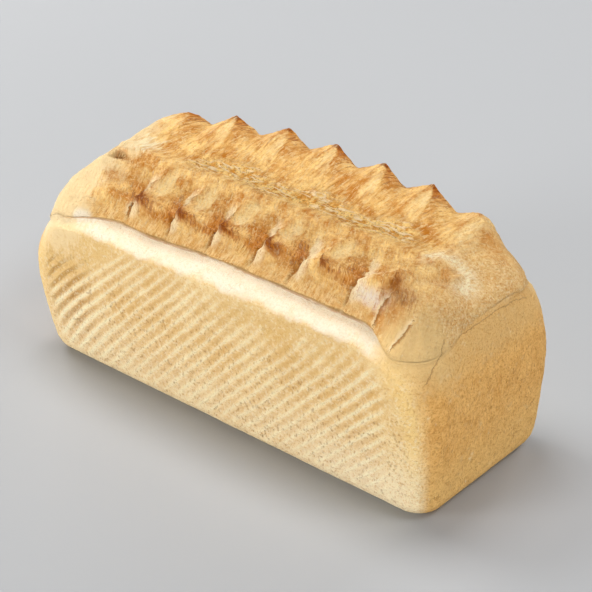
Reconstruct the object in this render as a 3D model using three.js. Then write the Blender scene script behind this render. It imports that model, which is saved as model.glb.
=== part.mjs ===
// Uncut white tin loaf with a torn, crown-like top, in millimetres, +Z up.
// It stands on its flat base, long side along X. The front long side is -Y.
// The loaf is one solid, so it is one mesh: rings of wall from the base up to the crease under
// the crust's rim, then rings of dome that close in on a line along the middle.
import * as THREE from 'three';

// Grid: equal steps round the loaf, so that one rib of the tin is two columns wide.
const columns = 66;
const rows = 20;
const footLevels = 3;
const wallLevels = 19;
const rollLevels = 3;
const flankRings = 5;

// Tin-shaped lower body.
const footHalfLength = 136.5;
const footHalfWidth = 52.5;
const footRadius = 9.5;
const footCornerRadius = 15;
const wallTop = 93.5;
const topHalfLength = 134;
const topHalfWidth = 61;
const topCornerRadius = 29;
const middleHalfLength = 140;
const middleHeight = 58;
const sideBelly = 1;

// The edge of the tin-baked side rolls over to a shelf, which ends in a crease under the dome.
const rollRun = 10;
const rollRise = 7.5;
const creaseHalfWidth = 47.8;
const creaseZ = 101.4;

// Towards the ends the shelf closes up, and only a crack is left between wall and dome.
const closingStart = 90;
const closingEnd = 124;
const crackHalfLength = 132;
const crackHalfWidth = 55.5;
const crackZ = 101;
const crackCornerRadius = 27;
const crackDepth = 0.7;

// Where the rim sags: the corners, the right of the front and the left end.
const cornerDip = 6;
const cornerDipY = [16, 48];
const rightFrontDrop = 5;
const rightFrontX = [75, 125];
const rightFrontY = [10, -45];
const leftFrontDrop = 3.5;
const leftFrontX = [5, -60];
const leftFrontEndX = [-102, -76];
const leftFrontY = [10, -30];
const leftArchDrop = 15;
const leftArchX = [-110, -134];
const leftEndX = [-70, -130];
const leftEndDrop = 1;
const leftEndDropZ = [60, 100, 105, 125];
const leftEndFullness = 5;
const leftEndFullnessZ = [0, 50];

// Dome of the crust above the crease. The edge of its top stands further out in front.
const flankInset = { front: 3.8, back: 7.5 };
const flankOverhang = { front: 1, back: 3.2 };
const domeCornerRadius = 33;
const backLeftCornerRadius = 14;
const plateauHalfLength = 115;
const plateauEndHalfWidth = 38;
const domeFullness = 1.06;
const endSlant = 1.5;
const plateauRingStep = 4;

// Height of the torn top along the tips of the front teeth, the middle and the back teeth.
const frontTipZ = 121.8;
const frontTipSlope = 0.06;
const frontTipCurve = 0.0002;
const middleZ = 119.5;
const middleSlope = 0.02;
const backTipZ = 135.4;
const backTipCentre = 4;
const backTipCurve = -0.00095;
const troughShare = 0.1;

// The crown's front teeth are lobes: places of their tips along X at the edge of the top, and of
// the grooves between them, inside an outer edge beyond each end.
const frontTeeth = [-96, -64, -34, -5, 27, 62, 105];
const frontGrooves = [-1000, -68, -38.5, -10, 20.5, 48, 85, 1000];
const endLobeWidth = 60;
const grooveDepth = 6.2;
const grooveReach = [0.1, 0.85];
const grooveEnd = [1.5, 2];
const grooveEndLoss = 0.7;
const grooveFall = 1.7;
const grooveClimb = 0.85;
const flankRound = 0.7;

// The lobes lean: down the flank to the left, and over the top to the middle line to the left.
const lobeLean = 9;
const leanBend = 1.2;
const tipSlant = 15;
const grooveSlant = 23;

// The columns of the grid lean with the lobes, and stand straight again at the crease, at both
// ends and behind the middle line.
const columnSlant = 19;
const columnStraightY = 22;
const columnStraightRise = 0.35;
const columnStraightLeft = [-125, -70];
const columnStraightRight = [125, 80];

// Hollow behind the tip of each lobe, and the knuckle at the tip.
const scoopDepth = 1.7;
const scoopMiddle = { past: 5.2, side: 0.52 };
const scoopReach = { past: 6, side: 0.46 };
const scoopShares = [0.3, 1, 1, 1, 1, 0.8, 0];
const knuckleHeight = 1.7;
const knuckleWidth = 0.2;
const knuckleReach = 11;
const knuckleShares = [0.3, 0.9, 1, 1, 1, 0.8, 0.3];
const lobesStart = [-108, -98];

// The back teeth are points. The face of each opens out from its tip towards the middle line.
const backTeeth = [-106.5, -74, -35, -0.5, 32.5, 64, 97];
const backTipY = 43.3;
const faceEase = 8;
const faceLeft = 3.5;
const faceRight = 8;
const faceHollow = 0.14;
const teethStart = -115;
const teethEnd = 99;
const teethFade = 12;
const tipRing = 4;
const tipHeight = 1.6;
const notchDepth = 7;
const toothRings = 9;
const toothEase = 0.6;
const endSink = 6;

// The tear along the top, and single dents and swellings of the dome.
const tearDepth = 1.2;
const tearHalfWidth = 10;
const tearY = 7;
const swellings = [
  { x: 98, y: -41, reachX: 11, reachY: 9, height: 2 },
  { x: 98, y: -19, reachX: 12, reachY: 14, height: -2 },
  { x: 110.5, y: -9, reachX: 5, reachY: 5, height: -1.6 },
  { x: 115, y: 0, reachX: 4, reachY: 7, height: 1 },
  { x: -109, y: -14, reachX: 6, reachY: 4, height: -2.6 },
  { x: -108, y: -7, reachX: 9, reachY: 3, height: 1 },
  { x: -106, y: 6, reachX: 10, reachY: 9, height: 0.8 },
];
const swellingRound = 0.7;

// Ribs that the tin's ribbed sides leave, slanting up along the wall.
const ribDepth = 0.9;
const ribFade = 9;
const ribPanelHalfLength = 113;
const ribPanelFoot = 11;
const ribPanelTop = 94;
const ribPanelShoulder = 30;
const ribPanelShoulderX = [80, 125];

// Slow unevenness of the dough: a long ripple and a shorter one, in radians per millimetre.
const wallWave = 0.8;
const topWave = 1.1;
const longRipple = { alongX: 0.043, alongY: 0.071, alongZ: 0.05, start: 1.1 };
const shortRipple = { size: 0.6, alongX: 0.101, alongY: 0.11, alongZ: -0.063, start: 0.6 };

const totalLevels = footLevels + wallLevels + rollLevels + 1;
const innerRings = rows / 2;
const quarterTurn = Math.PI / 2;

// 0 at the first edge, 1 at the second, in either order.
function smooth(edge0, edge1, value) {
  return THREE.MathUtils.smoothstep((value - edge0) / (edge1 - edge0), 0, 1);
}

// Half sizes, height and corner radius of the wall ring at one level.
function wallRing(level) {
  const rise = Math.max(level - footLevels, 0) / wallLevels;
  const turn = quarterTurn * Math.min(level / footLevels, 1);
  const foot = footRadius * (1 - Math.sin(turn));
  let z = footRadius * (1 - Math.cos(turn));
  if (level > footLevels) {
    z = footRadius + (wallTop - footRadius) * Math.min(rise, 1);
  }
  const share = z / wallTop;
  const endSpan = z < middleHeight ? middleHeight : wallTop - middleHeight;
  const endHalfLength = z < middleHeight ? footHalfLength : topHalfLength;
  const endBend = ((z - middleHeight) / endSpan) ** 2;
  const sideWidth = THREE.MathUtils.lerp(footHalfWidth, topHalfWidth, share);
  const halfWidth = sideWidth + sideBelly * Math.sin(Math.PI * share) - foot;
  return {
    halfLength: THREE.MathUtils.lerp(middleHalfLength, endHalfLength, endBend) - foot,
    halfWidth,
    endHalfWidth: halfWidth,
    radius: THREE.MathUtils.lerp(footCornerRadius, topCornerRadius, share ** 3) - foot / 2,
    z,
    endZ: z,
  };
}

// The same from the wall's top to the crease, the last roll level.
function rollRing(rollLevel) {
  const isCrease = rollLevel > rollLevels;
  const roll = quarterTurn * Math.min(rollLevel / rollLevels, 1);
  const share = rollLevel / (rollLevels + 1);
  const dent = isCrease ? crackDepth : 0;
  return {
    halfLength: THREE.MathUtils.lerp(topHalfLength, crackHalfLength, share) - dent,
    halfWidth: isCrease ? creaseHalfWidth : topHalfWidth - rollRun * (1 - Math.cos(roll)),
    endHalfWidth: THREE.MathUtils.lerp(topHalfWidth, crackHalfWidth, share) - dent,
    radius: THREE.MathUtils.lerp(topCornerRadius, crackCornerRadius, share),
    z: isCrease ? creaseZ : wallTop + rollRise * Math.sin(roll),
    endZ: THREE.MathUtils.lerp(wallTop, crackZ, share),
  };
}

// The same for a ring of the dome, on its front or back half. Its heights are shares of the way
// from the crease to the top.
function domeRing(ring, half) {
  const turn = quarterTurn * Math.min(ring / flankRings, 1);
  const inner = Math.max(ring - flankRings, 0);
  const overhang = flankOverhang[half] * Math.sin(2 * turn);
  const halfWidth = creaseHalfWidth - flankInset[half] * (1 - Math.cos(turn)) + overhang;
  const closing = 1 - inner / (innerRings - flankRings);
  const reach = Math.cos(turn) ** endSlant;
  const halfLength = THREE.MathUtils.lerp(plateauHalfLength, crackHalfLength, reach);
  return {
    halfLength: halfLength - plateauRingStep * inner,
    halfWidth: halfWidth * closing,
    endHalfWidth: closing
      * THREE.MathUtils.lerp(plateauEndHalfWidth, crackHalfWidth, Math.cos(turn)),
    radius: THREE.MathUtils.lerp(domeCornerRadius, crackCornerRadius, Math.cos(turn)),
    backLeftRadius: THREE.MathUtils.lerp(backLeftCornerRadius, crackCornerRadius, Math.cos(turn)),
    z: Math.min(domeFullness * Math.sin(turn), 1),
    endZ: (turn / quarterTurn + Math.sin(turn)) / 2,
  };
}

// A square-cornered grid place (u, v in -1..1 on the ring) moved onto the rounded rectangle.
function placeOnRing(ring, u, v) {
  const rawX = u * ring.halfLength;
  const closing = smooth(closingStart, closingEnd, Math.abs(rawX));
  const halfWidth = THREE.MathUtils.lerp(ring.halfWidth, ring.endHalfWidth, closing);
  const height = THREE.MathUtils.lerp(ring.z, ring.endZ, closing);
  const rawY = v * halfWidth;
  const isBackLeft = rawX < 0 && rawY > 0 && ring.backLeftRadius;
  const radius = Math.min(isBackLeft ? ring.backLeftRadius : ring.radius, halfWidth);
  if (radius <= 0) {
    return { x: rawX, y: 0, height, closing, outX: 0, outY: 0 };
  }
  const straightX = ring.halfLength - radius;
  const straightY = halfWidth - radius;
  const p = Math.max(0, Math.abs(rawX) - straightX) / radius;
  const q = Math.max(0, Math.abs(rawY) - straightY) / radius;
  const outX = p * Math.sqrt(1 - q * q / 2);
  const outY = q * Math.sqrt(1 - p * p / 2);
  return {
    x: Math.sign(rawX) * (Math.min(Math.abs(rawX), straightX) + radius * outX),
    y: Math.sign(rawY) * (Math.min(Math.abs(rawY), straightY) + radius * outY),
    height,
    closing,
    outX: Math.sign(rawX) * outX,
    outY: Math.sign(rawY) * outY,
  };
}

// A bell of height 1.
function hill(value, width) {
  return Math.exp(-((value / width) ** 2));
}

// 0 on the middle line, 1 from the edge of the top outwards.
function sideShare(y) {
  return Math.min(Math.abs(y) / (creaseHalfWidth - flankInset[y < 0 ? 'front' : 'back']), 1);
}

// How far to the left the lobes have leant on the way down the flank.
function leanAt(rise) {
  return lobeLean * (1 - rise) ** leanBend;
}

// How far to the left a grid corner of the dome is moved.
function columnShift(x, y, rise) {
  const onTop = y < 0
    ? columnSlant * (1 - sideShare(y))
    : columnSlant * smooth(columnStraightY, 0, y);
  const onFlank = y < 0 ? leanAt(rise) * smooth(0, columnStraightRise, rise) : 0;
  const ends = smooth(...columnStraightLeft, x) * smooth(...columnStraightRight, x);
  return (onTop + onFlank) * ends;
}

// Relief of the front lobes: height from 0 in a groove to 1, and what is added to it in mm.
function lobeAt(x, y, rise) {
  const side = sideShare(y);
  const outward = side + 1 - rise;
  const turned = x + leanAt(rise) + grooveSlant * (1 - side);
  const owner = frontGrooves.filter((groove) => groove < turned).length - 1;
  const left = frontGrooves[owner];
  const right = frontGrooves[owner + 1];
  const tip = frontTeeth[owner] + (grooveSlant - tipSlant) * (1 - side);
  const past = turned - tip;
  const width = Math.min(right - left, endLobeWidth);
  const share = Math.min(2 * Math.min(turned - left, right - turned) / width, 1);
  const rounded = (1 - (1 - share) ** 2) ** flankRound;
  const ridged = past < 0
    ? ((turned - left) / Math.max(tip - left, 1)) ** grooveClimb
    : 1 - Math.min(past / Math.max(right - tip, 1), 1) ** grooveFall;
  const onTop = smooth(0.7, 1, rise) * smooth(1.05, 0.9, outward);

  const on = smooth(...lobesStart, x);
  const scoopFar = Math.hypot(
    (past - scoopMiddle.past) / scoopReach.past,
    (side - scoopMiddle.side) / scoopReach.side,
  );
  const scoop = smooth(1.1, 0.6, scoopFar) * scoopShares[owner] * smooth(0.8, 1, rise) * on;
  const knuckle = hill(outward - 1, knuckleWidth) * smooth(-4, 1, past)
    * Math.exp(-Math.max(past, 0) / knuckleReach) * knuckleShares[owner] * on;
  return {
    height: THREE.MathUtils.lerp(rounded, ridged, onTop),
    added: knuckleHeight * knuckle - scoopDepth * scoop,
    reach: smooth(...grooveReach, outward) * (1 - grooveEndLoss * smooth(...grooveEnd, outward)),
  };
}

// 1 on the face of a back tooth, 0 halfway to the next.
function toothAt(x, y) {
  const open = 1 - Math.exp(-Math.max(backTipY - y, 0) / faceEase);
  const crests = backTeeth.map((tooth) => tooth + faceRight * open);
  const edges = backTeeth.map((tooth) => tooth - faceLeft * open);
  const next = edges.findIndex((edge) => edge > x);
  const face = crests.findIndex((crest, tooth) => x <= crest && x >= edges[tooth]);
  if (face >= 0) {
    const share = (x - edges[face]) / Math.max(crests[face] - edges[face], 0.1);
    return 1 - faceHollow * Math.sin(Math.PI * share) * open;
  }
  if (next <= 0) {
    return 1;
  }
  return Math.abs(1 - 2 * (x - crests[next - 1]) / (edges[next] - crests[next - 1]));
}

// Height of the torn top, with all teeth at full height.
function topHeight(x, y) {
  const front = frontTipZ + frontTipSlope * x + frontTipCurve * x * x;
  const middle = middleZ + middleSlope * x;
  const back = backTipZ + backTipCurve * (x - backTipCentre) ** 2;
  return THREE.MathUtils.lerp(middle, y < 0 ? front : back, smooth(troughShare, 1, sideShare(y)));
}

// The left end stands out further near its top.
function leftEnd(spot) {
  const end = smooth(...leftEndX, spot.x);
  const [dropStart, dropFull, dropEasing, dropEnd] = leftEndDropZ;
  const high = smooth(dropStart, dropFull, spot.z) * smooth(dropEnd, dropEasing, spot.z);
  spot.z -= leftEndDrop * end * high;
  spot.x -= leftEndFullness * end * smooth(...leftEndFullnessZ, spot.z);
  return spot;
}

// About -1.5 to 1.5.
function wave(x, y, z) {
  const long = Math.sin(longRipple.alongX * x + longRipple.start)
    * Math.cos(longRipple.alongY * y + longRipple.alongZ * z);
  const short = Math.sin(shortRipple.alongX * x + shortRipple.alongZ * z + shortRipple.start)
    * Math.cos(shortRipple.alongY * y);
  return long + shortRipple.size * short;
}

// 1 on the ribbed panel of a side. Its top arches down towards the ends.
function ribMask(x, z) {
  const side = smooth(ribPanelHalfLength, ribPanelHalfLength - ribFade, Math.abs(x));
  const arch = ribPanelTop - ribPanelShoulder * smooth(...ribPanelShoulderX, Math.abs(x));
  return side * smooth(ribPanelFoot, ribPanelFoot + ribFade, z) * smooth(arch, arch - ribFade, z);
}

// How much lower the rim is round the corners, towards the right of the front and at the left.
function rimDrop(place) {
  const corner = place.closing * smooth(...cornerDipY, Math.abs(place.y));
  const rightFront = smooth(...rightFrontX, place.x) * smooth(...rightFrontY, place.y);
  const leftFront = smooth(...leftFrontX, place.x) * smooth(...leftFrontEndX, place.x)
    * smooth(...leftFrontY, place.y);
  const leftArch = smooth(...leftArchX, place.x) * (place.y / creaseHalfWidth) ** 2;
  return cornerDip * corner + rightFrontDrop * rightFront + leftFrontDrop * leftFront
    + leftArchDrop * leftArch;
}

// A grid corner on the wall.
function wallPoint(i, j, level) {
  const rollLevel = level - footLevels - wallLevels;
  const ring = rollLevel > 0 ? rollRing(rollLevel) : wallRing(level);
  const place = placeOnRing(ring, 2 * i / columns - 1, 2 * j / rows - 1);
  const share = place.height / creaseZ;
  const z = place.height - rimDrop(place) * share ** 3;
  let out = level > 0 ? wallWave * share * wave(place.x, place.y, z) : 0;
  const isOnSide = place.outX === 0;
  if (isOnSide) {
    const alongRib = place.y < 0 ? i - level : i + level;
    const crest = Math.abs(alongRib) % 2 === 0 ? 1 : -1;
    out += crest * ribDepth / 2 * ribMask(place.x, z);
  }
  return leftEnd(new THREE.Vector3(place.x + out * place.outX, place.y + out * place.outY, z));
}

// A grid corner on the dome, with the teeth cut out of it.
function domePoint(i, j, ringNumber) {
  const acrossRows = rows / 2 - ringNumber;
  const u = (i - columns / 2) / (columns / 2 - ringNumber);
  const v = acrossRows > 0 ? (j - rows / 2) / acrossRows : 0;
  const place = placeOnRing(domeRing(ringNumber, v < 0 ? 'front' : 'back'), u, v);
  const rise = place.height;
  place.x -= columnShift(place.x, place.y, rise);
  const foot = THREE.MathUtils.lerp(creaseZ, crackZ, place.closing) - rimDrop(place);
  let z = THREE.MathUtils.lerp(foot, topHeight(place.x, place.y), rise);

  const isFront = place.y < 0;
  const lobe = lobeAt(place.x, place.y, rise);
  const tooth = toothAt(place.x, place.y);
  const reach = Math.sin(Math.PI * Math.min(ringNumber / toothRings, 1) ** toothEase);
  const onTeeth = smooth(teethStart - teethFade, teethStart, place.x)
    * smooth(teethEnd + teethFade, teethEnd, place.x);
  const cut = isFront
    ? grooveDepth * lobe.reach * (1 - lobe.height)
    : notchDepth * reach * (1 - tooth) * onTeeth;
  const slope = quarterTurn * Math.min(ringNumber / flankRings, 1);
  const bump = topWave * wave(place.x, place.y, z) * Math.sin(2 * slope);
  const out = bump - cut * Math.cos(slope);
  z -= cut * Math.sin(slope) + endSink * (1 - onTeeth) * rise;
  z -= tearDepth * smooth(tearHalfWidth, 0, Math.abs(place.y - tearY)) * rise;
  if (isFront) {
    z += lobe.added * rise;
  } else if (ringNumber === tipRing) {
    z += tipHeight * tooth * onTeeth;
  }
  for (const { x, y, reachX, reachY, height } of swellings) {
    const far = Math.hypot((place.x - x) / reachX, (place.y - y) / reachY);
    z += height * rise * hill(far, swellingRound);
  }
  return leftEnd(new THREE.Vector3(place.x + out * place.outX, place.y + out * place.outY, z));
}

// The closed surface of the loaf.
function loafGeometry() {
  const positions = [];
  const faces = [];
  const known = new Map();

  function vertex(i, j, level) {
    const key = `${i},${j},${level}`;
    if (!known.has(key)) {
      const ringNumber = Math.min(i, columns - i, j, rows - j);
      const spot = level === totalLevels && ringNumber > 0
        ? domePoint(i, j, ringNumber)
        : wallPoint(i, j, level);
      known.set(key, positions.length / 3);
      positions.push(spot.x, spot.y, spot.z);
    }
    return known.get(key);
  }

  // Two triangles, counter-clockwise from outside, split from the first corner to the third.
  function quad(a, b, c, d) {
    faces.push(a, b, c, a, c, d);
  }

  for (let level = 0; level < totalLevels; level += 1) {
    const up = level + 1;
    for (let i = 0; i < columns; i += 1) {
      quad(vertex(i, 0, level), vertex(i + 1, 0, level), vertex(i + 1, 0, up), vertex(i, 0, up));
      quad(
        vertex(i + 1, rows, level), vertex(i, rows, level),
        vertex(i, rows, up), vertex(i + 1, rows, up),
      );
    }
    for (let j = 0; j < rows; j += 1) {
      quad(
        vertex(columns, j, level), vertex(columns, j + 1, level),
        vertex(columns, j + 1, up), vertex(columns, j, up),
      );
      quad(vertex(0, j + 1, level), vertex(0, j, level), vertex(0, j, up), vertex(0, j + 1, up));
    }
  }
  for (let i = 0; i < columns; i += 1) {
    for (let j = 0; j < rows; j += 1) {
      quad(
        vertex(i, j, totalLevels), vertex(i + 1, j, totalLevels),
        vertex(i + 1, j + 1, totalLevels), vertex(i, j + 1, totalLevels),
      );
    }
  }

  // Flat base: strips across, and a fan at each end.
  for (let i = 0; i < columns; i += 1) {
    quad(vertex(i, 0, 0), vertex(i, rows, 0), vertex(i + 1, rows, 0), vertex(i + 1, 0, 0));
  }
  for (let j = 1; j < rows; j += 1) {
    faces.push(vertex(0, 0, 0), vertex(0, j, 0), vertex(0, j + 1, 0));
    faces.push(vertex(columns, 0, 0), vertex(columns, j + 1, 0), vertex(columns, j, 0));
  }

  const geometry = new THREE.BufferGeometry();
  geometry.setAttribute('position', new THREE.Float32BufferAttribute(positions, 3));
  geometry.setIndex(faces);
  geometry.computeVertexNormals();
  return geometry;
}

const crust = new THREE.MeshStandardMaterial({ color: 0xd9ab6a, roughness: 0.75, metalness: 0 });

const loaf = new THREE.Mesh(loafGeometry(), crust);
loaf.name = 'loaf';

// The origin is the middle of the loaf's box, on the surface it stands on.
const middle = new THREE.Box3().setFromObject(loaf).getCenter(new THREE.Vector3());
loaf.position.set(-middle.x, -middle.y, 0);

const group = new THREE.Group();
group.add(loaf);

export default group;
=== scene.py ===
import math
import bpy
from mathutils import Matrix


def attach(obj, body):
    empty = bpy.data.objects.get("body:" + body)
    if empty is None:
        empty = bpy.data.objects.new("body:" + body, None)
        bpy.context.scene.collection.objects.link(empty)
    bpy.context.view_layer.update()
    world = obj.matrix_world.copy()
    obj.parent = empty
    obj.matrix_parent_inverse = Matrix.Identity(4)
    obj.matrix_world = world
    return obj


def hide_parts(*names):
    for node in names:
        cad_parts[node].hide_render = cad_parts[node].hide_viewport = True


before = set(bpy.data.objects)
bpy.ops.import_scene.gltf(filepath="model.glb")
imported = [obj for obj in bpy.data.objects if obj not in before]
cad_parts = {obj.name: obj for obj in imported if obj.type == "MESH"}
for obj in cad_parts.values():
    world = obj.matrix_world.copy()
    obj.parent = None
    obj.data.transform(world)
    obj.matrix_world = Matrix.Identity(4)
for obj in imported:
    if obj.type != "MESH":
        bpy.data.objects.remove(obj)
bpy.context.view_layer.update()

from types import SimpleNamespace

import bpy
import numpy as np
from mathutils import Vector

mm = 0.001

view = {
    "azimuth": 40.23,  # degrees round from the front
    "elevation": 30.6,
    "distance": 1107.3,  # mm
    "aim": (-2.38, 14.52, 52.53),
    "lens": 121.62,
}

studio = {
    "floorTone": "#a8aaae",
    "floorSize": 8,  # metres
    "floorRoughness": 0.8,
    "skyTone": "#f6f9ff",
    "skyStrength": 0.02,
    "lampTone": "#fffefb",
    "lampSize": 0.8,  # metres across
    "lampReach": 1.8,
    "lampAim": (0, 0, 0.06),
    "lamps": {  # degrees round from the front, degrees up, watts
        "key": (-120, 75, 13.8),
        "leftLow": (-120, 8, 10.5),
        "left": (-90, 50, 15.0),
        "frontLow": (-30, 9, 27.0),
        "rightLow": (60, 8, 17.5),
        "right": (100, 56, 11.2),
        "back": (180, 25, 11.0),
    },
}


def paint(code):  # a screen colour as the shader's linear one
    parts = [int(code[place:place + 2], 16) / 255 for place in (1, 3, 5)]
    linear = [((part + 0.055) / 1.055) ** 2.4 if part > 0.04 else part / 12.92 for part in parts]
    return (*linear, 1)


def aimAt(thing, place, target):
    thing.location = place
    thing.rotation_mode = "QUATERNION"
    thing.rotation_quaternion = (Vector(target) - Vector(place)).to_track_quat("-Z", "Y")


def towards(azimuth, elevation):
    a, e = math.radians(azimuth), math.radians(elevation)
    return Vector((math.sin(a) * math.cos(e), -math.cos(a) * math.cos(e), math.sin(e)))


def makeCamera():
    back = towards(view["azimuth"], view["elevation"])
    aim = Vector(view["aim"]) * mm
    lens = bpy.data.cameras.new("camera")
    lens.lens = view["lens"]
    camera = bpy.data.objects.new("camera", lens)
    bpy.context.scene.collection.objects.link(camera)
    aimAt(camera, aim + back * view["distance"] * mm, aim)
    bpy.context.scene.camera = camera


def makeLamp(name, azimuth, elevation, power):
    light = bpy.data.lights.new(name, "AREA")
    light.shape = "DISK"
    light.size = studio["lampSize"]
    light.energy = power
    light.color = paint(studio["lampTone"])[:3]
    lamp = bpy.data.objects.new(name, light)
    bpy.context.scene.collection.objects.link(lamp)
    middle = Vector(studio["lampAim"])
    aimAt(lamp, middle + towards(azimuth, elevation) * studio["lampReach"], middle)


def makeStudio():
    world = bpy.data.worlds.new("sky")
    world.use_nodes = True
    sky = world.node_tree.nodes["Background"]
    sky.inputs["Color"].default_value = paint(studio["skyTone"])
    sky.inputs["Strength"].default_value = studio["skyStrength"]
    bpy.context.scene.world = world
    bpy.context.scene.view_settings.view_transform = "Standard"
    for name, (azimuth, elevation, power) in studio["lamps"].items():
        makeLamp(name + "Lamp", azimuth, elevation, power)

    bpy.ops.mesh.primitive_plane_add(size=studio["floorSize"])
    floor = bpy.context.object
    floor.name = "floor"
    stone = bpy.data.materials.new("paleFloor")
    stone.use_nodes = True
    shader = stone.node_tree.nodes["Principled BSDF"]
    shader.inputs["Base Color"].default_value = paint(studio["floorTone"])
    shader.inputs["Roughness"].default_value = studio["floorRoughness"]
    floor.data.materials.append(stone)


makeCamera()
makeStudio()
print("camera, lights and floor")


class Wire:  # a socket that sums, products and powers can be written with
    def __init__(self, bench, socket):
        self.bench, self.socket = bench, socket

    def math(self, operation, *others):
        return self.bench.add("Math", {"operation": operation}, self, *others)

    def __add__(self, other): return self.math("ADD", other)
    def __radd__(self, other): return self.math("ADD", other)
    def __sub__(self, other): return self.math("SUBTRACT", other)
    def __rsub__(self, other): return self.bench.add("Math", {"operation": "SUBTRACT"}, other, self)
    def __mul__(self, other): return self.math("MULTIPLY", other)
    def __rmul__(self, other): return self.math("MULTIPLY", other)
    def __rtruediv__(self, other): return self.bench.add("Math", {"operation": "DIVIDE"}, other, self)
    def __pow__(self, other): return self.math("POWER", other)


class Bench:  # one node tree and the ways to add to it
    families = ("ShaderNode", "GeometryNode")

    def __init__(self, tree):
        self.tree = tree

    # Settings come first, then sockets by place or by name. Gives the output called out, or the first.
    def add(self, kind, settings=None, *values, out=None, **named):
        name = next(family + kind for family in self.families if hasattr(bpy.types, family + kind))
        node = self.tree.nodes.new(name)
        for key, value in (settings or {}).items():
            setattr(node, key, value)
        for place, value in [*enumerate(values), *named.items()]:
            self.plug(node, place, value)
        live = [socket for socket in node.outputs if socket.enabled]
        return Wire(self, live[0] if out is None else next(s for s in live if s.name == out))

    def plug(self, node, place, value):
        live = [socket for socket in node.inputs if socket.enabled]
        if isinstance(place, int):
            socket = live[place]
        else:
            socket = next(s for s in live if s.name == place)
        if isinstance(value, Wire):
            self.tree.links.new(value.socket, socket)
        elif value is not None:
            socket.default_value = value

    # 0 at the first edge and 1 at the second, in either order
    def ease(self, value, start, end):
        if start > end:
            return 1 - self.ease(value, end, start)
        return self.add("MapRange", {"interpolation_type": "SMOOTHSTEP"}, value, start, end, 0.0, 1.0)

    def noise(self, place, grain, detail=2.0, rough=0.5):  # grain in mm
        return self.add("TexNoise", {}, Vector=place, Scale=1 / grain, Detail=detail, Roughness=rough)


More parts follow.
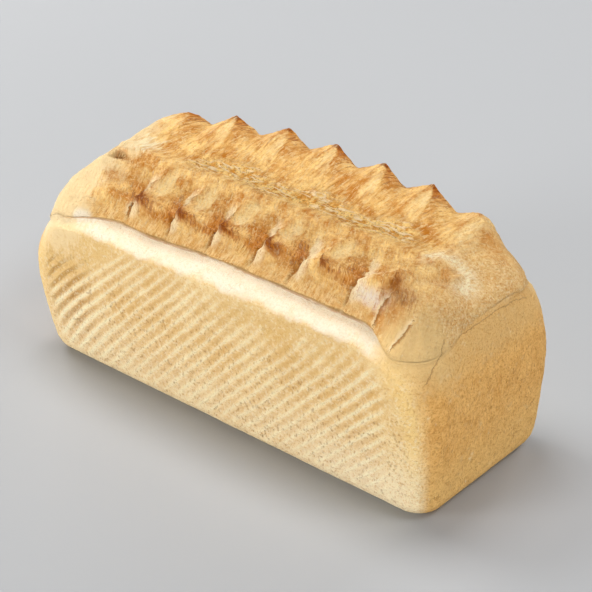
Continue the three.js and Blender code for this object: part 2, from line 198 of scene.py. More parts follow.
loafSizes = {  # mm, apart from shares and numbers of steps
    # the box grid: steps along and across the rim, levels up the body, rings up the dome's flank
    "columns": 66, "rows": 20, "footLevels": 3, "wallLevels": 19, "rollLevels": 3, "flankRings": 5,
    # the fine steps on it: along X and Y, up each stretch, and close to the crease
    "across": 250, "deep": 108, "levelSteps": (8, 68, 8, 3, 3), "creaseSplit": 0.8,
    "edgeSteps": 3, "edgeRing": 0.35,

    # body: foot, belly and top of the wall
    "footHalfLength": 136.5, "footHalfWidth": 52.5, "footRadius": 9.5, "footCornerRadius": 15,
    "wallTop": 93.5, "topHalfLength": 134, "topHalfWidth": 61, "topCornerRadius": 29,
    "middleHalfLength": 140, "middleHeight": 58, "sideBelly": 1,
    "leftEndX": (-70, -130), "leftEndDrop": 1, "leftEndDropZ": (60, 100, 105, 125),
    "leftEndFullness": 5, "leftEndFullnessZ": (0, 50),

    # roll and crease: on the long sides, and as a crack round the ends
    "rollRun": 10, "rollRise": 7.5, "creaseHalfWidth": 47.8, "creaseZ": 102,
    "closing": (90, 124), "leftClosing": 14, "leftClosingShare": (0, -0.6),
    "crackHalfLength": 132, "crackHalfWidth": 55.5, "crackZ": 101, "crackCornerRadius": 27,
    "crackDepth": 0.9, "crackWidth": 1.1, "crackX": (-60, -20),
    "smoothCornerX": (98, 112), "smoothCornerY": (-6, -20),

    # where the rim sinks, and where the crease is filled out
    "cornerDip": 5, "cornerDipY": (16, 48),
    "rightFrontDrop": 3, "rightFrontX": (85, 128), "rightFrontY": (10, -45),
    "leftFrontDrop": 3.5, "leftFrontX": (5, -60), "leftFrontEndX": (-102, -76), "leftFrontY": (10, -30),
    "leftArchDrop": 15, "leftArchX": (-110, -134),
    "leftFill": 2.6, "leftFillX": (-90, -106),
    "rightFill": 2.8, "rightFillX": (92, 108), "rightFillY": (-16, -34),
    "fillLevels": 1.3, "fillRings": 0.9,

    # dome
    "flankInset": 7.5, "frontInset": 3.8, "flankOverhang": 3.2, "flankTuck": 1.5,
    "domeCornerRadius": 33, "backLeftCornerRadius": 14, "domeFullness": 1.06, "endSlant": 1.5,
    "plateauHalfLength": 115, "plateauEndHalfWidth": 38, "plateauRingStep": 4, "endSink": 6,
    "frontTipZ": 121.8, "frontTipSlope": 0.06, "frontTipCurve": 0.0002,
    "middleZ": 119.5, "middleSlope": 0.02,
    "backTipZ": 135.4, "backTipCentre": 4, "backTipCurve": -0.00095, "troughShare": 0.1,
    "tearDepth": 1.2, "tearHalfWidth": 10, "tearY": 7,

    # front lobes: a slant is over half the top, the lean is over the flank
    "frontTeeth": (-96, -64, -34, -5, 27, 62, 105), "frontGrooves": (-68, -38.5, -10, 20.5, 48, 85),
    "lobesStartX": (-108, -98), "lobeLean": 9, "leanBend": 1.2, "crestSlant": 15, "grooveSlant": 23,
    "grooveDepth": 7.6, "grooveFall": 1.7, "grooveClimb": 0.85, "flankBank": 2.6, "flankFall": 8.0,
    "scoopDepth": 2.0, "scoopMiddle": (5.2, 0.52), "scoopReach": (5.0, 0.46), "scoopEase": (1.15, 0.3),
    "scoopShare": (0.3, 1, 1, 1, 1, 0.8, 0), "crestHeight": 0.8, "crestWidth": 1.5,
    "knuckleHeight": 1.8, "knuckleOut": 1.4, "knuckleBand": 0.2, "knuckleRun": (-4, 1.5),
    "knuckleReach": 13, "knuckleShare": (0.3, 0.9, 1, 1, 1, 0.8, 0.3),

    # back teeth
    "backTeeth": (-106.5, -74, -35, -0.5, 32.5, 64, 97), "teethX": (-127, -115, 99, 111),
    "tipRing": 4, "tipHeight": 1.6, "notchDepth": 7, "toothRings": 9, "toothEase": 0.6,
    "toothFace": (-3.5, 8), "toothFaceEase": 8, "toothFaceInset": 4.5, "toothFaceHollow": 0.14,

    "bumps": (  # x, y, radius along x, along y, height
        (98, -41, 11, 9, 2.0), (98, -19, 12, 14, -2.0), (110.5, -9, 5, 5, -1.6), (115, 0, 4, 7, 1.0),
        (-109, -13.5, 7, 4.5, -5), (-108, -7, 9, 3, 1.0), (-106, 6, 10, 9, 0.8)),
    "knots": (  # x, y, z, radius, height
        (-106.5, -49.5, 102.7, 2.8, -2.6), (-105.5, -51.5, 98.4, 2.6, -2.2),
        (-99.8, -51.5, 98.5, 3.6, 2.0), (-95.5, -50, 99.5, 3, 1.5)),
    # lines in the sides, as pairs of mm along them and up
    "endCracks": (((-22, 97.6), (-3, 99.2), (7, 99.5), (18, 98.4), (27, 96.8), (36, 94.5)),
                  ((-34.5, 101), (-37.5, 98), (-39.2, 92), (-44.7, 86.5), (-48.5, 83))),
    "frontTears": (((107, 120), (104.5, 112), (101, 104.5)), ((120.5, 110.5), (116.7, 99.5)),
                   ((-65, 117), (-69, 110), (-71, 105.5))),
    "wallWave": 0.8, "topWave": 1.1, "middleX": -2.43, "middleY": -0.01,
}
s = SimpleNamespace(**loafSizes)
innerRings = s.rows / 2
wallEnd = s.footLevels + s.wallLevels
rollEnd = wallEnd + s.rollLevels
creaseLevel = rollEnd + 1
noNeighbour = 999  # mm, past the first and the last lobe


def mix(first, second, share):
    return first + (second - first) * share


def smooth(start, end, value):
    share = np.clip((value - start) / (end - start), 0, 1)
    return share * share * (3 - 2 * share)


def between(value, start, full, easing, over):  # 0 before start, 1 from full to easing, 0 once over
    return smooth(start, full, value) * smooth(over, easing, value)


def hill(value, middle, width):
    return np.exp(-((value - middle) / width) ** 2)


def wallRings(level):
    rise = np.clip((level - s.footLevels) / s.wallLevels, 0, 1)
    turn = np.pi / 2 * np.minimum(level / s.footLevels, 1)
    foot = s.footRadius * (1 - np.sin(turn))
    z = s.footRadius * (1 - np.cos(turn)) + (s.wallTop - s.footRadius) * rise
    share = z / s.wallTop
    low = z < s.middleHeight
    span = np.where(low, s.middleHeight, s.wallTop - s.middleHeight)
    endLength = np.where(low, s.footHalfLength, s.topHalfLength)
    halfWidth = mix(s.footHalfWidth, s.topHalfWidth, share) + s.sideBelly * np.sin(np.pi * share) - foot
    rings = dict(
        halfLength=mix(s.middleHalfLength, endLength, ((z - s.middleHeight) / span) ** 2) - foot,
        halfWidth=halfWidth, endHalfWidth=halfWidth,
        radius=mix(s.footCornerRadius, s.topCornerRadius, share ** 3) - foot / 2, z=z, endZ=z)
    rollLevel = np.maximum(level - wallEnd, 0)
    roll = np.pi / 2 * np.minimum(rollLevel / s.rollLevels, 1)
    past = np.clip(rollLevel - s.rollLevels, 0, 1)
    share = rollLevel / (s.rollLevels + 1)
    rolled = dict(
        halfLength=mix(s.topHalfLength, s.crackHalfLength, share),
        halfWidth=mix(s.topHalfWidth - s.rollRun * (1 - np.cos(roll)), s.creaseHalfWidth, past),
        endHalfWidth=mix(s.topHalfWidth, s.crackHalfWidth, share),
        radius=mix(s.topCornerRadius, s.crackCornerRadius, share),
        z=mix(s.wallTop + s.rollRise * np.sin(roll), s.creaseZ, past ** 1.5),
        endZ=mix(s.wallTop, s.crackZ, share))
    return {key: np.where(rollLevel > 0, rolled[key], rings[key]) for key in rings}


def domeRings(ring, v):
    turn = np.pi / 2 * np.minimum(ring / s.flankRings, 1)
    inner = np.maximum(ring - s.flankRings, 0)
    overhang = s.flankOverhang * np.sin(2 * turn)
    closing = 1 - inner / (innerRings - s.flankRings)
    inset = np.where(v < 0, s.frontInset, s.flankInset)
    halfWidth = s.creaseHalfWidth - inset * (1 - np.cos(turn)) + overhang
    reach = np.maximum(np.cos(turn), 0) ** s.endSlant
    return dict(
        halfLength=mix(s.plateauHalfLength, s.crackHalfLength, reach) - s.plateauRingStep * inner,
        halfWidth=halfWidth * closing,
        endHalfWidth=mix(s.plateauEndHalfWidth, s.crackHalfWidth, np.cos(turn)) * closing,
        radius=mix(s.domeCornerRadius, s.crackCornerRadius, np.cos(turn)),
        backLeftRadius=mix(s.backLeftCornerRadius, s.crackCornerRadius, np.cos(turn)),
        z=np.minimum(s.domeFullness * np.sin(turn), 1),
        endZ=(turn / (np.pi / 2) + np.sin(turn)) / 2)


# A place of the square grid, u and v in -1..1, moved onto the ring's rounded rectangle.
def placeOnRings(rings, u, v):
    rawX = u * rings["halfLength"]
    early = s.leftClosing * (rawX < 0) * smooth(*s.leftClosingShare, v)
    closing = smooth(s.closing[0] - early, s.closing[1] - early, np.abs(rawX))
    halfWidth = mix(rings["halfWidth"], rings["endHalfWidth"], closing)
    height = mix(rings["z"], rings["endZ"], closing)
    rawY = v * halfWidth
    backLeft = (rawX < 0) & (rawY > 0)
    radius = np.where(backLeft, rings.get("backLeftRadius", rings["radius"]), rings["radius"])
    radius = np.maximum(np.minimum(radius, halfWidth), 1e-6)
    straightX, straightY = rings["halfLength"] - radius, halfWidth - radius
    p = np.maximum(np.abs(rawX) - straightX, 0) / radius
    q = np.maximum(np.abs(rawY) - straightY, 0) / radius
    outX, outY = p * np.sqrt(1 - q * q / 2), q * np.sqrt(1 - p * p / 2)
    return SimpleNamespace(
        x=np.sign(rawX) * (np.minimum(np.abs(rawX), straightX) + radius * outX),
        y=np.sign(rawY) * (np.minimum(np.abs(rawY), straightY) + radius * outY),
        height=height, closing=closing, outX=np.sign(rawX) * outX, outY=np.sign(rawY) * outY)


def sideOf(y):  # 0 on the middle line, 1 at the edge of the top
    return np.minimum(np.abs(y) / (s.creaseHalfWidth - np.where(y < 0, s.frontInset, s.flankInset)), 1)


def sway(x, y):  # mm that lines drawn on the dough wander by
    return np.sin(0.19 * x + 0.13 * y + 0.7) + 0.8 * np.sin(0.41 * x - 0.31 * y + 1.9) \
        + 0.5 * np.sin(0.83 * x + 0.57 * y + 0.4)


def wave(x, y, z):  # -1.6 to 1.6, for the hand-shaped body
    long = np.sin(0.043 * x + 1.1) * np.cos(0.071 * y + 0.05 * z)
    return long + 0.6 * np.sin(0.101 * x - 0.063 * z + 0.6) * np.cos(0.11 * y)


# The front lobes: whose a place is, mm past its crest, how high between its two grooves, and its forms.
def lobesAt(x, y, rise):
    crests = np.array(s.frontTeeth, float)
    edges = np.array((-noNeighbour, *s.frontGrooves, noNeighbour), float)
    side = sideOf(y + 0.6 * sway(y, x))
    outward = side + 1 - rise  # 0 on the middle line, 1 at the edge of the top, 2 at the crease
    inner = 1 - side
    turned = x + s.lobeLean * (1 - rise) ** s.leanBend + s.grooveSlant * inner
    turned = turned + 0.8 * sway(x, y) * smooth(0.2, 0.6, outward)
    owner = np.clip(np.searchsorted(edges, turned) - 1, 0, len(crests) - 1)
    before, after = turned - edges[owner], edges[owner + 1] - turned  # mm from the two grooves
    crest = crests[owner] + (s.grooveSlant - s.crestSlant) * inner
    past = turned - crest
    puff = 1 - np.exp(-np.maximum(np.minimum(before / s.flankBank, after / s.flankFall), 0))
    climb = np.clip(before / np.maximum(crest - edges[owner], 1), 0, 1) ** s.grooveClimb
    fall = 1 - np.clip(past / np.maximum(edges[owner + 1] - crest, 1), 0, 1) ** s.grooveFall
    onTop = smooth(0.7, 1, rise) * smooth(1.05, 0.9, outward)
    height = mix(puff, np.where(past < 0, climb, fall), onTop)

    on = smooth(*s.lobesStartX, x)
    scoopX, scoopSide = s.scoopMiddle
    scoopFar = np.hypot((past - scoopX) / s.scoopReach[0], (side - scoopSide) / s.scoopReach[1])
    scoop = smooth(*s.scoopEase, scoopFar) * np.array(s.scoopShare)[owner] * smooth(0.8, 1, rise) * on
    ridge = hill(past, 0, s.crestWidth) * smooth(0.15, 0.4, side) * smooth(0.5, 0.9, rise)
    ridge = ridge * on * np.minimum(owner, 1)  # none on the first lobe
    knuckle = hill(outward, 1, s.knuckleBand) * smooth(*s.knuckleRun, past)
    knuckle = knuckle * np.exp(-np.maximum(past, 0) / s.knuckleReach) * np.array(s.knuckleShare)[owner] * on
    return SimpleNamespace(owner=owner, past=past, before=before, after=after, height=height, scoop=scoop,
                           scoopFar=scoopFar, ridge=ridge, knuckle=knuckle, side=side, outward=outward)


# 1 on a back tooth's face and 0 halfway to the next, then mm past the crest and on to the next face.
def toothAt(x, y):
    teeth = np.array(s.backTeeth, float)
    widening = np.clip(s.creaseHalfWidth - s.toothFaceInset - y, 0, 99)
    opened = 1 - np.exp(-widening / s.toothFaceEase)
    left, right = s.toothFace[0] * opened, s.toothFace[1] * opened
    gap = np.clip(np.searchsorted(teeth, x - right) - 1, 0, len(teeth) - 2)
    fromCrest, toEdge = x - teeth[gap] - right, teeth[gap + 1] + left - x
    room = np.maximum(teeth[gap + 1] + left - teeth[gap] - right, 1)
    tooth = np.where(toEdge > 0, np.abs(1 - 2 * np.clip(fromCrest / room, 0, 1)), 1)
    face = np.clip(-toEdge / np.maximum(right - left, 0.1), 0, 1)
    hollow = s.toothFaceHollow * np.sin(np.pi * face) * opened
    return np.where(x - teeth[0] < left, 1, tooth - hollow), fromCrest, toEdge


def topHeight(x, y):
    front = s.frontTipZ + s.frontTipSlope * x + s.frontTipCurve * x * x
    middle = s.middleZ + s.middleSlope * x
    back = s.backTipZ + s.backTipCurve * (x - s.backTipCentre) ** 2
    return mix(middle, np.where(y < 0, front, back), smooth(s.troughShare, 1, sideOf(y)))


def leftEnd(x, z):  # the left end stands out further near its top
    end = smooth(*s.leftEndX, x)
    lower = z - s.leftEndDrop * end * between(z, *s.leftEndDropZ)
    return x - s.leftEndFullness * end * smooth(*s.leftEndFullnessZ, lower), lower


def knotted(x, y, z):  # mm in or out, at the knots where the crease ends on the left
    return sum(height * np.exp(-((x - x0) ** 2 + (y - y0) ** 2 + (z - z0) ** 2) / radius ** 2)
               for x0, y0, z0, radius, height in s.knots)


def rimDrop(place):
    corner = place.closing * smooth(*s.cornerDipY, np.abs(place.y))
    rightFront = smooth(*s.rightFrontX, place.x) * smooth(*s.rightFrontY, place.y)
    leftArch = smooth(*s.leftArchX, place.x) * (place.y / s.creaseHalfWidth) ** 2
    leftFront = smooth(*s.leftFrontX, place.x) * smooth(*s.leftFrontEndX, place.x) \
        * smooth(*s.leftFrontY, place.y)
    return s.cornerDip * corner + s.rightFrontDrop * rightFront + s.leftFrontDrop * leftFront \
        + s.leftArchDrop * leftArch


# mm that the crack round the right end is pinched in by, apart from the smooth corner at its front
def pinch(place, near):
    smoothCorner = smooth(*s.smoothCornerX, place.x) * smooth(*s.smoothCornerY, place.y)
    crack = s.crackDepth * place.closing * (1 - smoothCorner) * smooth(*s.crackX, place.x)
    return near * crack


def fill(place, near):  # mm that the crease is filled out by at the two front corners
    right = s.rightFill * smooth(*s.rightFillX, place.x) * smooth(*s.rightFillY, place.y)
    return (s.leftFill * smooth(*s.leftFillX, place.x) + right) * near


def wallPoints(u, v, level):
    place = placeOnRings(wallRings(level), u, v)
    share = np.minimum(place.height / s.creaseZ, 1)
    z = place.height - rimDrop(place) * share ** 3
    out = np.where(level > 0, s.wallWave * share * wave(place.x, place.y, z), 0)
    out = out - pinch(place, hill(level, creaseLevel, s.crackWidth / 2)) + knotted(place.x, place.y, z)
    out = out + fill(place, hill(level, creaseLevel, s.fillLevels))
    x, z = leftEnd(place.x + out * place.outX, z)
    return x, place.y + out * place.outY, z, place


def domePoints(u, v, ring):
    rings = domeRings(ring, v)
    place = placeOnRings(rings, u, v)
    rise = place.height
    foot = mix(s.creaseZ, s.crackZ, place.closing) - rimDrop(place)
    z = mix(foot, topHeight(place.x, place.y), rise)
    front = place.y < 0
    lobes = lobesAt(place.x, place.y, rise)
    teeth, fromCrest, toEdge = toothAt(place.x, place.y)
    onTeeth = between(place.x, *s.teethX)
    backReach = np.sin(np.pi * np.minimum(ring / s.toothRings, 1) ** s.toothEase)
    frontReach = smooth(0.05, 0.7, lobes.outward) * (
        1 - 0.45 * smooth(0.95, 1.3, lobes.outward) - 0.35 * smooth(1.5, 2, lobes.outward))
    cut = np.where(front, s.grooveDepth * frontReach * (1 - lobes.height),
                   s.notchDepth * backReach * (1 - teeth) * onTeeth)
    raised = s.knuckleHeight * lobes.knuckle + s.crestHeight * lobes.ridge - s.scoopDepth * lobes.scoop
    slope = np.pi / 2 * np.minimum(ring / s.flankRings, 1)

    out = s.topWave * wave(place.x, place.y, z) * np.sin(2 * slope) - cut * np.cos(slope)
    out = out - pinch(place, hill(ring, 0, s.crackWidth / 5)) + knotted(place.x, place.y, z)
    out = out + fill(place, hill(ring, 0, s.fillRings))
    out = out + front * (1 - place.closing) * (s.knuckleOut * lobes.knuckle - s.flankTuck * np.sin(2 * slope))

    z = z - cut * np.sin(slope) - s.endSink * (1 - onTeeth) * rise
    z = z - s.tearDepth * smooth(s.tearHalfWidth, 0, np.abs(place.y - s.tearY)) * rise
    z = z + np.where(front, raised * rise, s.tipHeight * teeth * onTeeth * hill(ring, s.tipRing, 0.7))
    for x0, y0, reachX, reachY, height in s.bumps:
        z = z + height * rise * hill(np.hypot((place.x - x0) / reachX, (place.y - y0) / reachY), 0, 0.7)
    x, z = leftEnd(place.x + out * place.outX, z)
    forms = dict(vars(lobes), teeth=teeth * onTeeth, fromCrest=fromCrest, toEdge=toEdge, onTeeth=onTeeth)
    return x, place.y + out * place.outY, z, place, forms


def stepsOf(stops, counts):  # runs from stop to stop, each with its own even step
    runs = zip(stops, stops[1:], counts)
    return np.concatenate([*[np.linspace(*run, endpoint=False) for run in runs], [stops[-1]]])


def loafMesh():
    across, deep = s.across, s.deep
    half = deep // 2
    stops = (0, s.footLevels, wallEnd, rollEnd, rollEnd + s.creaseSplit, creaseLevel)
    levels = stepsOf(stops, s.levelSteps)
    ringOf = np.interp(np.arange(half + 1), [0, s.edgeSteps, half], [0, s.edgeRing, innerRings])
    edge = [(i, 0) for i in range(across)] + [(across, j) for j in range(deep)] \
        + [(across - i, deep) for i in range(across)] + [(0, deep - j) for j in range(deep)]
    edge, count, top = np.array(edge), len(edge), len(levels) - 1

    u, v = 2 * edge[:, 0] / across - 1, 2 * edge[:, 1] / deep - 1
    level = levels[:, None] + 0 * u
    wx, wy, wz, wallPlace = wallPoints(u + 0 * level, v + 0 * level, level)

    i, j = [part.ravel() for part in np.meshgrid(np.arange(1, across), np.arange(1, deep), indexing="ij")]
    k = np.minimum.reduce([i, across - i, j, deep - j])
    du = (i - across / 2) / (across / 2 - k)
    dv = np.where(k < half, (j - deep / 2) / np.maximum(deep / 2 - k, 1e-9), 0)
    ring = ringOf[k]
    dx, dy, dz, domePlace, forms = domePoints(du, dv, ring)

    points = np.concatenate([np.stack([wx, wy, wz], -1).reshape(-1, 3), np.stack([dx, dy, dz], -1)])
    points -= (s.middleX, s.middleY, 0)

    # numbers of the grid's corners on the top: the crease's own round the edge, then the dome's
    grid = np.zeros((across + 1, deep + 1), int)
    grid[edge[:, 0], edge[:, 1]] = top * count + np.arange(count)
    grid[1:-1, 1:-1] = len(levels) * count + np.arange(len(i)).reshape(across - 1, deep - 1)
    body = np.arange(len(levels) * count).reshape(len(levels), count)
    nextBody = np.roll(body, -1, 1)
    quads = [
        np.stack([body[:-1], nextBody[:-1], nextBody[1:], body[1:]], -1).reshape(-1, 4),
        np.stack([grid[:-1, :-1], grid[1:, :-1], grid[1:, 1:], grid[:-1, 1:]], -1).reshape(-1, 4),
    ]
    low = {tuple(place): number for number, place in enumerate(edge)}
    base = [(low[n, 0], low[n, deep], low[n + 1, deep], low[n + 1, 0]) for n in range(across)]
    fans = [(low[0, 0], low[0, n], low[0, n + 1]) for n in range(1, deep)] \
        + [(low[across, 0], low[across, n + 1], low[across, n]) for n in range(1, deep)]
    mesh = bpy.data.meshes.new("loafShape")
    mesh.from_pydata((points * mm).tolist(), [], np.concatenate([*quads, base]).tolist() + fans)
    mesh.shade_smooth()

    def joined(wallPart, domePart):
        shaped = np.broadcast_to(wallPart, wx.shape).ravel()
        return np.concatenate([shaped, np.broadcast_to(domePart, dx.shape)])

    field = SimpleNamespace(
        x=joined(wallPlace.x, domePlace.x), y=joined(wallPlace.y, domePlace.y), z=points[:, 2],
        worldX=points[:, 0], worldY=points[:, 1], dome=joined(0, 1),
        ring=joined(0, ring), level=joined(level, top), rise=joined(0, domePlace.height),
        closing=joined(wallPlace.closing, domePlace.closing), outX=joined(wallPlace.outX, domePlace.outX),
        column=joined((u + 1) / 2 * s.columns, 0),
        **{key: joined(0, part) for key, part in forms.items()})
    return mesh, field


# Signed mm from the nearest of the lines, and 1 on the lines and 0 past the width
def nearLines(a, b, lines, width):
    nearest, gap = 0 * a + 99, 0 * a + 99
    for line in lines:
        for (a0, b0), (a1, b1) in zip(line, line[1:]):
            length = (a1 - a0) ** 2 + (b1 - b0) ** 2
            share = np.clip(((a - a0) * (a1 - a0) + (b - b0) * (b1 - b0)) / length, 0, 1)
            far = np.hypot(a - mix(a0, a1, share), b - mix(b0, b1, share))
            turn = (a1 - a0) * (b - b0) - (b1 - b0) * (a - a0)
            gap = np.where(far < nearest, np.where(turn > 0, far, -far), gap)
            nearest = np.minimum(nearest, far)
    return gap, np.exp(-(nearest / width) ** 2)


bakedPlaces = {  # mm: two say where a mark starts and is full, four also where it eases and is over
    "ribsX": (-126, -116, 108, 118), "ribsFootZ": (3, 16), "ribsTopZ": 96, "ribsTopFade": 12,
    "ribsLeftX": (-60, -122), "ribsLeftDrop": 42, "ribsRightX": (95, 120), "ribsRightDrop": 12,
    "ribsStrongX": (60, 110), "scorchedX": (-126, -118, -104, -84), "scorchedZ": (16, 30, 60, 78),
    "bandZ": (92.5, 99.5), "bandEndX": (120, 100), "plainZ": (98, 92), "plainX": (-20, -80),
    "poresZ": (96, 60), "endFaceZ": (103, 99), "endPaleZ": (72, 88), "cornerX": (100, 112),
    "creamX": -108, "creamEdge": (10, -14), "creamSlopeZ": (104, 118), "creamZ": (62, 86, 120, 134),
    "flankX": (-126, -112, 108, 124), "greyEndX": (90, 120),
    "tornX": (-86, -62, 66, 100), "tornOff": 1.5, "tornHalfWidth": 7,
    "skinX": (98, 114), "skinY": (-24, -40), "skinZ": 99, "skinHeight": 15,
    "whitishY": (-26, -34), "rightFallY": (-34, -42), "swirlY": (-12, 2),
    "creaseX": (-116, -98, 92, 104), "ringWidth": 7, "levelHeight": 6,  # mm in one ring and in one level
    "endCrackX": 122, "endCrackWidth": 1.6, "frontTearY": -36, "frontTearWidth": 3,
    "patches": {  # two places, the reach along both, and how soft
        "mottle": (-93, -31, 13, 9, 0.9), "stretched": (-104, 6, 14, 12, 0.8),
        "tanPatch": (45, 85, 45, 14, 0.95), "whitish": (96, 119, 13, 8, 0.85),
        "backFall": (108, 36, 13, 11, 0.9), "rightFall": (106, 111, 10, 9, 0.9),
        "shade": (-107, -12, 9, 4, 0.85), "swirl": (108, -2, 13, 11, 0.32),
    },
    # lobe by lobe: how browned, how far past the crest in mm, how far it is burnt, and how broad
    "brownShare": (0.3, 0.85, 0.95, 1, 1, 0.8, 0.7), "brownReach": (12, 18, 19, 18, 17, 22, 16),
    "burntReach": (11, 11, 11, 11, 11, 11, 17), "brownBroad": (1, 1, 1, 1, 1, 1, 1.8),
    "lobesX": (-112, -100), "rimSink": 0.012,  # share for each mm past the crest
    "teethX": (-112, -104), "upperRings": (9.2, 6.0), "rimRing": 4.3, "tipRing": 4.2,
    "lastTipX": (80, 95),
}
p = SimpleNamespace(**bakedPlaces)


def patch(name, a, b, ring=0):
    a0, b0, reachA, reachB, softness = p.patches[name]
    return hill(np.hypot((a - a0) / reachA, (b - b0) / reachB), ring, softness)


# The tin-baked body: ribs, the pale band below the crease, and the plain corners and ends.
def wallMarks(f):
    wall = 1 - f.dome
    side = np.clip(1 - np.abs(f.outX) * 3, 0, 1)  # the long sides
    left = smooth(*p.ribsLeftX, f.x)
    ribsTop = p.ribsTopZ - p.ribsLeftDrop * left ** 0.8 - p.ribsRightDrop * smooth(*p.ribsRightX, f.x)
    underTop = smooth(ribsTop, ribsTop - p.ribsTopFade, f.z)
    corner = smooth(0.1, 0.75, f.outX)
    band = smooth(*p.bandZ, f.levelZ + 0.8 * f.wander) * wall * (1 - 0.8 * corner) * smooth(*p.bandEndX, f.x)
    endFace = np.clip((np.abs(f.outX) - 0.55) * 3.2, 0, 1) * smooth(*p.endFaceZ, f.z)
    abovePanel = smooth(ribsTop - 14, ribsTop + 2, f.z) * smooth(*p.plainZ, f.levelZ)
    return {
        "wall": wall,
        "ribTurn": np.where(f.y < 0, f.column - f.level, f.column + f.level) / 2,
        "ribShare": between(f.x, *p.ribsX) * smooth(*p.ribsFootZ, f.z) * underTop * side * wall,
        "ribStrength": 0.6 + 0.5 * left + 0.2 * smooth(*p.ribsStrongX, f.x),
        "scorched": between(f.x, *p.scorchedX) * between(f.z, *p.scorchedZ) * side * wall,
        "band": band,
        "endFace": endFace,
        "endPale": smooth(*p.endPaleZ, f.z + f.wander) * endFace,
        "cornerRidge": hill(np.abs(f.outX), 0.45, 0.3) * smooth(*p.cornerX, np.abs(f.x)),
        "pores": wall * smooth(*p.poresZ, f.levelZ),
        "plainTan": wall * side * abovePanel * smooth(*p.plainX, f.x),
        "tanPatch": wall * side * patch("tanPatch", f.x, f.z),
    }


# The dome as a whole: the run of its fibres, the torn middle, and the patches of its ends.
def domeMarks(f):
    lean = s.lobeLean * (1 - f.rise) ** s.leanBend * smooth(0, -12, f.y)
    slant = -np.where(f.y < 0, 0.575, 0.3) * np.abs(f.y)
    creamEdge = p.creamX - 0.25 * f.y + 6 * smooth(*p.creamSlopeZ, f.z) + 1.5 * f.wander
    creamFrom, creamTo = p.creamEdge
    torn = hill(f.y, s.tearY + p.tornOff + 2 * np.sin(f.x * 0.11), p.tornHalfWidth) * between(f.x, *p.tornX)
    backFall = patch("backFall", f.x, f.y)
    rightFall = patch("rightFall", f.x, f.z) * smooth(*p.rightFallY, f.y)
    greyEnd = smooth(*p.greyEndX, f.x + 0.25 * f.y + 3 * f.wander) * (1 - 0.8 * backFall)
    return {
        "weave": f.x + (lean + slant) * f.dome,
        "cream": smooth(creamEdge + creamFrom, creamEdge + creamTo, f.x) * between(f.z, *p.creamZ),
        "torn": torn * f.dome,
        "stretched": f.dome * patch("stretched", f.x, f.y),
        # a painted highlight: the pale swirl of ridges at the right end
        "swirl": f.dome * patch("swirl", f.x, f.y, 1) * smooth(*p.swirlY, f.y + 0.2 * (f.x - 100)),
        "whitish": f.dome * patch("whitish", f.x, f.z) * smooth(*p.whitishY, f.y),
        "greyEnd": f.dome * greyEnd,
        "lastFall": f.dome * np.maximum(0.75 * backFall, 1.15 * rightFall),
        "flank": f.dome * smooth(0.8, 0.15, f.rise) * between(f.x, *p.flankX),
        "knot": np.clip(knotted(f.x, f.y, f.z) / 1.5, -1, 1),
        "cornerSkin": smooth(*p.skinX, f.x) * smooth(*p.skinY, f.y) * hill(f.z, p.skinZ, p.skinHeight),
        "shade": f.dome * patch("shade", f.x, f.y + 0.3 * (f.x + 107)),
    }


# The front lobes, from the groove on the left: a steep bank with a painted highlight, as it faces the light,
# a thin crest, the pale scoop, then gold with painted shade down to the next.
def lobeMarks(f):
    owner = f.owner.astype(int)
    rows = (p.brownShare, p.brownReach, p.burntReach, p.brownBroad, s.scoopShare)
    share, reach, burntReach, broad, scoopShare = [np.array(row)[owner] for row in rows]
    onFront = f.dome * (f.y < 0) * smooth(*p.lobesX, f.x)
    ahead, hasLeft, hasNext = np.maximum(f.past, 0), f.before < 900, f.after < 900

    sunk = f.outward - p.rimSink * ahead  # the browned rim sinks towards the next groove
    brown = 0.9 * share * smooth(-3, 1, f.past) * np.exp(-(ahead / reach) ** 1.5)
    brown = brown * hill(sunk, 0.98, 0.19 * broad)
    # the fall to the next groove: browned crust, and painted shade, as this side faces away from the light
    fall = smooth(12, 2, f.after) * smooth(0.4, 0.85, f.side) * smooth(1.55, 1.1, f.outward) * hasNext
    burnt = share * smooth(-2, 0.5, f.past) * np.exp(-(ahead / burntReach) ** 1.6)
    burnt = burnt * hill(sunk, 0.99, 0.12 * broad) * onFront

    # the same fall painted gold: browned crust, and painted shade
    fallGoldAndShade = smooth(17, 3, f.after) * smooth(0.2, 0.7, f.side) * smooth(1.75, 1.1, f.outward) * hasNext
    ringGold = hill(f.scoopFar, 1.3, 0.3) * scoopShare * smooth(1.3, 0.9, f.outward)
    crestGold = hill(f.past, 0, 1.2) * smooth(0.25, 0.5, f.side) * smooth(1.1, 0.9, f.outward) * share
    golden = np.maximum.reduce([0.8 * fallGoldAndShade, 0.5 * ringGold, crestGold, 0.7 * patch("mottle", f.x, f.y)])

    # painted highlight: the bank rising from the groove faces the light, so it is painted pale
    bank = between(f.before, -0.5, 1.5, 3, 12) * between(f.outward, 0.2, 0.6, 1.4, 1.9) * hasLeft
    scoop = smooth(1.3, 0.3, f.scoopFar) * scoopShare
    # the pale mark also carries part of the banks' painted highlight
    return {
        "brown": np.maximum(brown, 0.5 * share * fall) * onFront, "burnt": burnt, "golden": golden * onFront,
        "bank": bank * onFront, "pale": np.maximum(0.6 * bank, scoop) * (1 - 0.8 * burnt) * onFront,
    }


